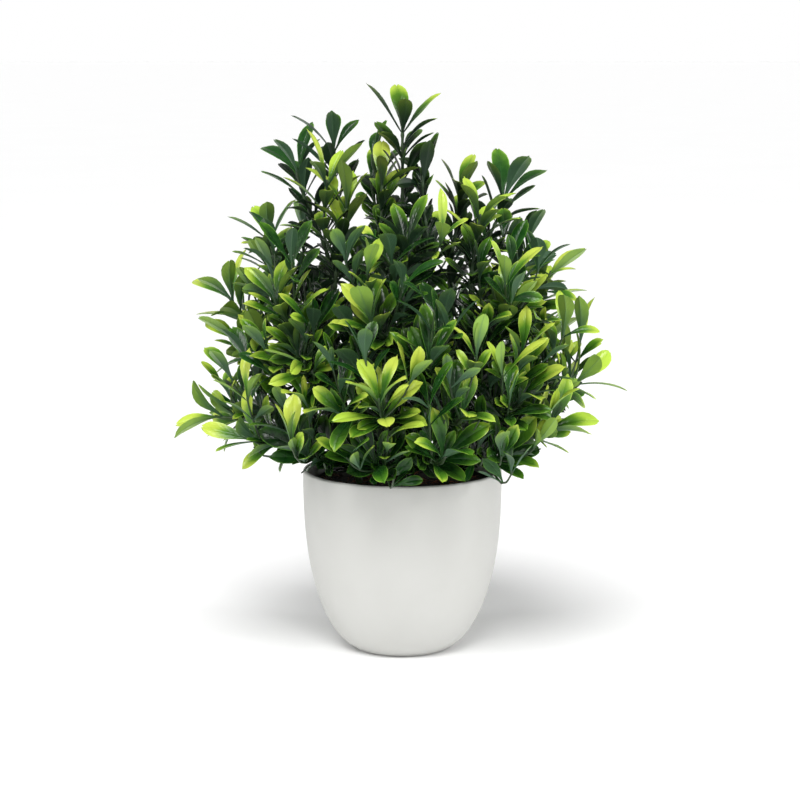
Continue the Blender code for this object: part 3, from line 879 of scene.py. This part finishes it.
def colour(red, green, blue):
    """A colour given as it looks on screen, 0 to 255, as the linear one that shaders use."""
    shares = (c / 255 for c in (red, green, blue))
    return (*(c / 12.92 if c <= 0.04045 else ((c + 0.055) / 1.055) ** 2.4 for c in shares), 1.0)


class Shader:
    """A short way to write node trees: each call adds a node and links its inputs."""

    def __init__(self, owner, surface="Principled BSDF"):
        owner.use_nodes = True
        self.owner, self.tree = owner, owner.node_tree
        self.surface = self.tree.nodes[surface]

    def node(self, kind, inputs=(), **settings):
        made = self.tree.nodes.new("ShaderNode" + kind)
        for key, value in settings.items():
            setattr(made, key, value)
        for key, value in dict(inputs).items():
            self.put(made.inputs[key], value)
        return made

    def put(self, socket, value):
        if hasattr(value, "links"):
            self.tree.links.new(value, socket)
        else:
            socket.default_value = value

    def attribute(self, name):
        return self.node("Attribute", attribute_name=name).outputs["Fac"]

    def place(self):
        return self.node("TexCoord").outputs["Object"]

    def maths(self, operation, a, b=0.0, c=0.0):
        made = self.node("Math", operation=operation)
        for socket, value in zip(made.inputs, (a, b, c)):
            self.put(socket, value)
        return made.outputs[0]

    def times(self, a, b):
        return self.maths("MULTIPLY", a, b)

    def ramp(self, value, low, high, to_low=0.0, to_high=1.0):
        """value from low to high becomes to_low to to_high, smoothly and no further."""
        ends = {"From Min": low, "From Max": high, "To Min": to_low, "To Max": to_high}
        made = self.node("MapRange", {"Value": value, **ends}, interpolation_type="SMOOTHSTEP")
        return made.outputs["Result"]

    def mix(self, share, a, b):
        """From a to b by a share. Each is a socket, or a colour as it looks on screen."""
        made = self.node("Mix", data_type="RGBA")
        for index, value in ((0, share), (6, a), (7, b)):
            self.put(made.inputs[index], colour(*value) if isinstance(value, tuple) else value)
        return made.outputs[2]

    def noise(self, scale, detail=3.0, roughness=0.5, where=None):
        inputs = {"Vector": where or self.place(), "Scale": scale, "Detail": detail, "Roughness": roughness}
        return self.node("TexNoise", inputs).outputs["Fac"]

    def bump(self, height, strength, distance):
        inputs = {"Height": height, "Strength": strength, "Distance": distance}
        self.put(self.surface.inputs["Normal"], self.node("Bump", inputs).outputs["Normal"])

    def finish(self, **inputs):
        for name, value in inputs.items():
            self.put(self.surface.inputs[name.replace("_", " ").title().replace("Ior", "IOR")], value)
        return self.owner


def new_material(name):
    return Shader(bpy.data.materials.new(name))


def leaf_material():
    """Soft plastic: dark green, lime towards the tip, with a pale edge line and a grey-green underside, and
    painted shade that darkens leaves deep in the bush.
    """
    s = new_material("leaf_plastic")
    names = ("along", "across", "tone", "lime", "under", "age")
    along_leaf, across_leaf, tone, lime, under, age = (s.attribute(name) for name in names)
    mottle = s.noise(260.0, 4.0, 0.6)
    edge = s.maths("ABSOLUTE", across_leaf)
    dark = s.mix(tone, (6, 28, 10), (25, 70, 22))
    dark = s.mix(s.ramp(mottle, 0.35, 0.75, 0.0, 0.32), dark, (56, 108, 36))
    # Painted shade: leaves deep in the bush turn near black.
    dark = s.mix(s.times(age, 0.85), dark, (6, 21, 8))
    reach = s.maths("MULTIPLY_ADD", lime, -0.90, 1.0)
    climb = s.maths("MULTIPLY_ADD", edge, 0.14, along_leaf)
    climb = s.maths("MULTIPLY_ADD", mottle, 0.14, climb)
    share = s.ramp(s.maths("SUBTRACT", climb, reach), 0.0, 0.75)
    share = s.times(share, s.ramp(lime, 0.02, 0.25))
    bright = s.mix(s.ramp(share, 0.45, 1.0), (100, 154, 36), (168, 201, 66))
    bright = s.mix(s.times(tone, s.ramp(share, 0.5, 1.0, 0.0, 0.6)), bright, (202, 207, 88))
    body = s.mix(share, dark, bright)
    rib = s.ramp(edge, 0.03, 0.10, 0.32, 0.0)
    rib = s.times(rib, s.ramp(along_leaf, 0.8, 0.2))
    body = s.mix(rib, body, s.mix(share, (66, 116, 52), (120, 172, 56)))
    line = s.ramp(edge, 0.86, 0.99, 0.0, 0.75)
    # Painted shade: the pale edge line dims deep in the bush.
    line = s.times(line, s.ramp(age, 0.2, 1.0, 1.0, 0.45))
    body = s.mix(line, body, s.mix(share, (92, 150, 52), (194, 220, 100)))
    below = s.mix(share, (64, 94, 70), (134, 172, 78))
    below = s.mix(s.ramp(edge, 0.05, 0.14, 0.4, 0.0), below, (88, 124, 88))
    # Painted shade: the underside darkens deep in the bush.
    below = s.mix(s.times(age, 0.85), below, (14, 30, 18))
    face = s.mix(s.times(under, 0.85), body, below)
    sheen = s.ramp(s.noise(90.0, 2.0), 0.35, 0.8)
    rough = s.ramp(sheen, 0.0, 1.0, 0.20, 0.34)
    rough = s.maths("ADD", rough, s.times(under, 0.18))
    veins = s.maths("SINE", s.maths("MULTIPLY_ADD", along_leaf, 62.0, s.times(edge, -16.0)))
    height = s.maths("MULTIPLY_ADD", veins, 0.12, s.noise(420.0, 3.0))
    s.bump(height, 0.25, 0.0004)
    return s.finish(base_color=face, roughness=rough, specular_ior_level=0.27)


def stem_material():
    """Dark green moulded plastic, browner and rougher than the leaves, with faint rings."""
    s = new_material("stem_plastic")
    mottle = s.noise(190.0, 4.0, 0.6)
    body = s.mix(s.ramp(mottle, 0.3, 0.75), (16, 34, 17), (46, 74, 36))
    body = s.mix(s.times(s.attribute("tone"), 0.4), body, (70, 92, 50))
    s.bump(s.noise(700.0, 3.0), 0.3, 0.0003)
    return s.finish(base_color=body, roughness=s.ramp(mottle, 0.2, 0.8, 0.36, 0.56))


def pot_material():
    """Matte off-white plastic with an eggshell surface and a few faint specks."""
    s = new_material("pot_plastic")
    cloud = s.noise(38.0, 3.0, 0.55)
    grain = s.noise(1500.0, 2.0, 0.6)
    specks = s.node("TexVoronoi", {"Vector": s.place(), "Scale": 230.0})
    speck = s.ramp(specks.outputs["Distance"], 0.035, 0.075, 1.0, 0.0)
    speck = s.times(speck, s.ramp(s.noise(120.0, 1.0), 0.60, 0.66))
    body = s.mix(cloud, (189, 189, 185), (197, 197, 194))
    body = s.mix(s.times(speck, 0.4), body, (178, 176, 170))
    s.bump(s.maths("MULTIPLY_ADD", cloud, 0.6, s.times(grain, 0.25)), 0.16, 0.0003)
    return s.finish(base_color=body, roughness=s.ramp(grain, 0.3, 0.7, 0.50, 0.62), specular_ior_level=0.4)


def soil_material():
    """Dark crust of crumbled peat, with patches of brown."""
    s = new_material("soil_crust")
    coarse, fine = s.noise(240.0, 5.0, 0.65), s.noise(1300.0, 3.0, 0.6)
    body = s.mix(s.ramp(coarse, 0.35, 0.7), (13, 10, 8), (40, 29, 21))
    body = s.mix(s.ramp(fine, 0.58, 0.75, 0.0, 0.5), body, (66, 47, 33))
    s.bump(s.maths("MULTIPLY_ADD", coarse, 1.0, s.times(fine, 0.5)), 0.8, 0.0012)
    return s.finish(base_color=body, roughness=s.ramp(fine, 0.3, 0.7, 0.82, 0.98))


def fibre_material():
    """Reddish-brown coir fibre."""
    s = new_material("coir_fibre")
    body = s.mix(s.attribute("tone"), (70, 34, 18), (146, 84, 44))
    body = s.mix(s.ramp(s.noise(900.0, 2.0), 0.4, 0.7, 0.0, 0.5), body, (48, 26, 16))
    return s.finish(base_color=body, roughness=s.ramp(s.noise(500.0), 0.3, 0.7, 0.7, 0.9))


def foam_material():
    """Cut dry foam: cream, with open cells."""
    s = new_material("dry_foam")
    cells = s.node("TexVoronoi", {"Vector": s.place(), "Scale": 900.0})
    pores = s.ramp(cells.outputs["Distance"], 0.15, 0.5)
    cloud = s.noise(60.0, 3.0)
    body = s.mix(pores, (176, 166, 138), (228, 220, 196))
    body = s.mix(s.ramp(cloud, 0.4, 0.7, 0.0, 0.25), body, (196, 184, 150))
    s.bump(pores, 0.6, 0.0006)
    return s.finish(base_color=body, roughness=s.ramp(cloud, 0.3, 0.7, 0.88, 0.98))


def cement_material():
    """Cast cement with sand grains and small air holes."""
    s = new_material("cast_cement")
    sand, holes = s.noise(1100.0, 4.0, 0.7), s.noise(150.0, 2.0)
    body = s.mix(s.ramp(sand, 0.35, 0.7), (138, 135, 128), (186, 183, 175))
    body = s.mix(s.ramp(holes, 0.62, 0.7, 0.0, 0.7), body, (98, 95, 90))
    s.bump(s.maths("SUBTRACT", sand, s.ramp(holes, 0.6, 0.7)), 0.6, 0.0008)
    return s.finish(base_color=body, roughness=s.ramp(sand, 0.3, 0.7, 0.85, 0.97))


def wire_material():
    """Drawn steel wire with fine scratches along it and a breath of rust."""
    s = new_material("steel_wire")
    place = s.node("Mapping", {"Vector": s.place(), "Scale": (3000.0, 3000.0, 90.0)})
    scratch = s.noise(1.0, 3.0, 0.6, place.outputs["Vector"])
    rust = s.ramp(s.noise(160.0, 4.0), 0.60, 0.72, 0.0, 0.6)
    body = s.mix(s.ramp(scratch, 0.3, 0.7), (150, 150, 152), (196, 196, 198))
    body = s.mix(rust, body, (120, 74, 46))
    s.bump(scratch, 0.2, 0.0002)
    return s.finish(base_color=body, roughness=s.ramp(scratch, 0.3, 0.7, 0.26, 0.44), metallic=1.0)


# -------- pieces


def lime_of(leaf, spray_lime, draw):
    """Young leaves near the tip are the lime ones, and older ones only have a trace of it."""
    lime = spray_lime if leaf.lime_from is None else leaf.lime_from
    lime *= LIME_FADE[leaf.level]
    return clamped(lime * draw.uniform(0.7, 1.3) + draw.uniform(-0.03, 0.14))


def leafy_piece(name, data, draw, grown, owner, lime, materials):
    """Adds the side shoots and fine leaves of a spray or a stem to its tubes, and makes the piece."""
    for path in grown.shoots[owner]:
        smooth = resampled(path, FINE_SHOOT_STEP)
        radii = [SHOOT_RADIUS * (1.5 if i == 0 else 1.0 - 0.3 * i / len(smooth)) for i in range(len(smooth))]
        add_tube(data, smooth, radii, draw.random())
    for leaf in grown.leaves[owner]:
        add_leaf(data, leaf, draw, lime_of(leaf, lime, draw))
    return data.make(name, materials, PLANT_SHARP_DEGREES)


def make_spray(index, path, grown, materials):
    """One spray: a socket on its peg, a twig with knobbly nodes, side shoots, and the fine leaves."""
    branch, share, _, _, lime = SPRAYS[index]
    number = 1 + sum(1 for other in SPRAYS[:index] if other[0] == branch)
    node = f"spray_{branch}_{number}"
    draw = random.Random(SPRAY_SEED + index)
    data = MeshData()
    smooth = resampled(path, FINE_TWIG_STEP)
    last = length_of(grown.twigs[index]) - FIRST_WHORL
    nodes = [last - k * WHORL_STEP / 2 for k in range(2 * len(WHORL_LEAVES) - 1)]
    add_tube(data, smooth, twig_radii(smooth, nodes), draw.random())
    if share < 1.0:
        ahead = (path[1] - path[0]).normalized()
        start = path[0] - ahead * (SOCKET_LENGTH - SOCKET_OVERLAP)
        socket = [start + ahead * SOCKET_LENGTH * s for s in (0, 0.06, 0.8, 1.0)]
        radii = [SOCKET_RADIUS * 0.9, SOCKET_RADIUS, SOCKET_RADIUS, SOCKET_END_RADIUS]
        add_tube(data, socket, radii, draw.random())
    spray = leafy_piece("leafy_" + node, data, draw, grown, index, lime, materials)
    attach(spray, "branch_" + branch)
    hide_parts(node)


def make_stem(branch, stem, grown, materials):
    """One stem: a fine tube, its pegs, and the leaves and shoots that grow on it."""
    draw = random.Random(STEM_SEED + list(BRANCHES).index(branch))
    data = MeshData()
    smooth = resampled(stem_path(branch, FINE_STEM_POINTS), FINE_STEM_STEP)
    last = len(smooth) - 1
    radii = []
    for i in range(last + 1):
        taper = STEM_BASE_RADIUS + (STEM_TOP_RADIUS - STEM_BASE_RADIUS) * i / last
        radii.append(taper * (1 + 0.07 * sin(i * 1.9) * draw.random()))
    add_tube(data, smooth, radii, draw.random())
    for other, share, tip, _, _ in SPRAYS:
        if other == branch and share < 1.0:
            root, peg = twig_start(stem, share, mm(tip))
            ends = [root + peg * PEG_LENGTH * s for s in (0, 0.3, 1.0)]
            add_tube(data, ends, [PEG_FOOT_RADIUS, PEG_RADIUS, PEG_RADIUS], draw.random())
    piece = leafy_piece("fine_stem_" + branch, data, draw, grown, branch, 0.0, materials)
    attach(piece, "branch_" + branch)
    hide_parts("stem_" + branch)


def arc(centre, radius, start, end, steps):
    """Points (radius, height) round part of a circle, between two angles in degrees."""
    angles = (radians(start + (end - start) * i / steps) for i in range(steps + 1))
    return [(centre[0] + radius * cos(a), centre[1] + radius * sin(a)) for a in angles]


def turned(name, profile, steps):
    """A solid of revolution about Z from a profile of (radius, height) points."""
    mesh = bpy.data.meshes.new(name)
    edges = [(i, i + 1) for i in range(len(profile) - 1)]
    mesh.from_pydata([(r, 0, z) for r, z in profile], edges, [])
    obj = linked(name, mesh)
    screw = obj.modifiers.new("turn", "SCREW")
    screw.axis = "Z"
    screw.steps = screw.render_steps = steps
    screw.use_merge_vertices = True
    screw.merge_threshold = 0.00001
    graph = bpy.context.evaluated_depsgraph_get()
    baked = bpy.data.meshes.new_from_object(obj.evaluated_get(graph))
    obj.modifiers.clear()
    obj.data = baked
    baked.shade_smooth()
    baked.set_sharp_from_angle(angle=radians(55))
    return obj


def make_pot(material):
    """The pot: a bowl with a rounded lip outside and in, and a soft edge round its flat base."""
    lip = POT_WALL / 2
    side = [POT_HEIGHT * (i / POT_SIDE_STEPS) ** 1.7 for i in range(POT_SIDE_STEPS + 1)]
    outer = [(pot_radius(z), z) for z in side if POT_EDGE < z < POT_HEIGHT - lip]
    inner = [(pot_radius(z) - POT_WALL, z) for z in side if POT_FLOOR < z < POT_HEIGHT - lip]
    rim = arc((POT_RADIUS - lip, POT_HEIGHT - lip), lip, 180, 0, 12)
    foot = [(pot_radius(POT_EDGE) - 0.0006, 0.00025), (POT_BASE_RADIUS - 0.0004, 0.0), (0.0, 0.0)]
    start = [(0.0, POT_FLOOR), (pot_radius(POT_FLOOR) - POT_WALL - 0.002, POT_FLOOR)]
    pot = turned("fine_pot", start + inner + rim + outer[::-1] + foot, POT_TURN_STEPS)
    pot.data.materials.append(material)
    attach(pot, "pot")
    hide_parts("pot")


def soil_height(x, y, feet):
    """The crust's height: slightly domed, lumpy, and drawn up round each stem."""
    r = hypot(x, y)
    dome = 0.0003 * (1 - (r / POT_RADIUS) ** 2)
    place = Vector((x, y, 0)) * 170
    lumps = SOIL_LUMPS * noise.fractal(place, 0.8, 2.1, 4)
    height = SOIL_EDGE_Z + dome + lumps
    for foot in feet:
        near = exp(-((hypot(x - foot.x, y - foot.y) / SOIL_RISE) ** 2))
        height += (PIVOT_HEIGHT + 0.0001 - height) * near
    return height


def make_soil(materials, feet):
    """The crust as a closed lumpy disc, with coir fibres and crumbs lying on it."""
    low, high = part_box("soil_cover")
    data = MeshData()
    edge = (high.x - low.x) / 2
    points = [Vector((0, 0, soil_height(0, 0, feet)))]
    spokes = [2 * pi * k / SOIL_SPOKES for k in range(SOIL_SPOKES)]
    for i in range(1, SOIL_RINGS + 1):
        drop = 0.0008 * max(0.0, i - SOIL_RINGS + 2) / 2
        for angle in spokes:
            place = round_axis(edge * i / SOIL_RINGS, angle)
            points.append(Vector((place.x, place.y, soil_height(place.x, place.y, feet) - drop)))
    faces = [[0, 1 + k, 1 + (k + 1) % SOIL_SPOKES] for k in range(SOIL_SPOKES)]
    for i in range(SOIL_RINGS - 1):
        for k in range(SOIL_SPOKES):
            a, b = 1 + i * SOIL_SPOKES + k, 1 + i * SOIL_SPOKES + (k + 1) % SOIL_SPOKES
            faces.append([a, a + SOIL_SPOKES, b + SOIL_SPOKES, b])
    rim = 1 + (SOIL_RINGS - 1) * SOIL_SPOKES
    base = len(points)
    inset = edge - (pot_radius(high.z) - pot_radius(low.z)) - 0.0003
    points += [round_axis(inset, angle, low.z) for angle in spokes]
    points.append(Vector((0, 0, low.z)))
    for k in range(SOIL_SPOKES):
        j = (k + 1) % SOIL_SPOKES
        faces.append([rim + k, base + k, base + j, rim + j])
        faces.append([base + k, base + SOIL_SPOKES, base + j])
    data.add(points, faces, 0)
    add_crumbs(data, edge, feet)
    add_fibres(data, edge, feet)
    soil = data.make("fine_soil", materials, 60)
    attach(soil, "plug")
    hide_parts("soil_cover")


def spot_on_soil(draw, edge):
    r = edge * 0.95 * sqrt(draw.random())
    angle = draw.uniform(0, 2 * pi)
    return r * cos(angle), r * sin(angle)


def add_crumbs(data, edge, feet):
    """Small irregular lumps, half sunk into the crust."""
    draw = random.Random(CRUMB_SEED)
    shape = bmesh.new()
    bmesh.ops.create_icosphere(shape, subdivisions=1, radius=1)
    ball = [v.co.copy() for v in shape.verts]
    faces = [[v.index for v in f.verts] for f in shape.faces]
    shape.free()
    for _ in range(CRUMBS):
        x, y = spot_on_soil(draw, edge)
        size = draw.uniform(*CRUMB_SIZE)
        centre = Vector((x, y, soil_height(x, y, feet)))
        turn = Matrix.Rotation(draw.uniform(0, 6), 3, Vector((draw.random(), draw.random(), 1)))
        flat = [turn @ Vector((p.x, p.y * 0.8, p.z * 0.6)) for p in ball]
        data.add([centre + p * size * draw.uniform(0.75, 1.2) for p in flat], faces, 0)


def add_fibres(data, edge, feet):
    """Short curved coir fibres that lie on the crust."""
    draw = random.Random(FIBRE_SEED)
    for _ in range(FIBRES):
        x, y = spot_on_soil(draw, edge * 0.92)
        heading, curl = draw.uniform(0, 2 * pi), draw.uniform(-1.6, 1.6)
        step, arch = draw.uniform(*FIBRE_LENGTH) / (FIBRE_POINTS - 1), draw.uniform(*FIBRE_ARCH)
        path = []
        for s in (k / (FIBRE_POINTS - 1) for k in range(FIBRE_POINTS)):
            path.append(Vector((x, y, soil_height(x, y, feet) + 0.0001 + arch * sin(pi * s))))
            x += step * cos(heading + curl * s)
            y += step * sin(heading + curl * s)
        if max(hypot(p.x, p.y) for p in path) < edge - 0.0006:
            add_fibre(data, path, draw)


def add_fibre(data, path, draw):
    """A thin three-sided strand, pointed at both ends."""
    radius = draw.uniform(*FIBRE_RADIUS)
    end = len(path) - 1
    points, faces = open_tube(path, [radius * (0.3 if i in (0, end) else 1) for i in range(end + 1)], 3)
    faces += [[2, 1, 0], [3 * end, 3 * end + 1, 3 * end + 2]]
    data.add(points, faces, 1, tone=draw.random())


def repaint(node, material):
    """A CAD part whose shape is right keeps it and gets the better material."""
    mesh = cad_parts[node].data
    mesh.materials.clear()
    mesh.materials.append(material)


# -------- stage


def make_floor():
    s = new_material("floor_paper")
    body = s.mix(s.noise(3.0, 3.0), (247, 247, 247), (250, 250, 250))
    s.bump(s.noise(900.0, 2.0), 0.05, 0.0002)
    material = s.finish(base_color=body, roughness=0.9, specular_ior_level=0.1)
    mesh = bpy.data.meshes.new("floor")
    shape = bmesh.new()
    bmesh.ops.create_grid(shape, x_segments=8, y_segments=8, size=FLOOR_SIZE)
    shape.to_mesh(mesh)
    shape.free()
    mesh.materials.append(material)
    floor = linked("floor", mesh)
    floor.location.z = -FLOOR_GAP


def make_light(name, kind, place, power):
    """A light that points at the middle of the plant."""
    light = bpy.data.lights.new(name, kind)
    light.energy = power
    obj = linked(name, light)
    obj.location = place
    obj.rotation_euler = (Vector(LIT_POINT) - obj.location).to_track_quat("-Z", "Y").to_euler()
    return light


def make_lights():
    make_light("sun", "SUN", *SUN).angle = radians(SUN_DEGREES)
    for name, (place, power, size) in SOFT_LIGHTS.items():
        light = make_light(name, "AREA", place, power)
        light.shape = "DISK"
        light.size = size


def make_sky():
    """A white surround that is bright at the horizon, behind the plant, and dim overhead."""
    s = Shader(bpy.data.worlds.new("studio"), "Background")
    height = s.node("SeparateXYZ", {0: s.node("TexCoord").outputs["Generated"]}).outputs["Z"]
    s.put(s.surface.inputs["Strength"], s.ramp(height, *SKY_HEIGHTS, *SKY_STRENGTHS))
    bpy.context.scene.world = s.finish(color=(1.0, 1.0, 1.0, 1.0))
    bpy.context.scene.view_settings.view_transform = "Standard"


def make_camera():
    """The view: almost level, from straight in front."""
    pitch = radians(CAMERA_PITCH)
    camera = bpy.data.cameras.new("camera")
    camera.sensor_width = 36.0
    camera.lens = CAMERA_LENS
    obj = linked("camera", camera)
    obj.location = Vector(CAMERA_TARGET) + Vector((0, -cos(pitch), sin(pitch))) * CAMERA_DISTANCE
    obj.rotation_euler = (pi / 2 - pitch, 0, 0)
    bpy.context.scene.camera = obj


def main():
    plant = [leaf_material(), stem_material()]
    stems, grown = growth_plan()
    for i, (branch, share, tip, upturn, _) in enumerate(SPRAYS):
        make_spray(i, twig_path(stems[branch], share, mm(tip), upturn, FINE_TWIG_POINTS), grown, plant)
    for branch, stem in stems.items():
        make_stem(branch, stem, grown, plant)
        repaint("wire_peg_" + branch, wire_material())
    make_pot(pot_material())
    make_soil([soil_material(), fibre_material()], [pivot_of(b) for b in BRANCHES])
    repaint("foam_plug", foam_material())
    repaint("cement_weight", cement_material())
    make_floor()
    make_lights()
    make_sky()
    make_camera()


main()
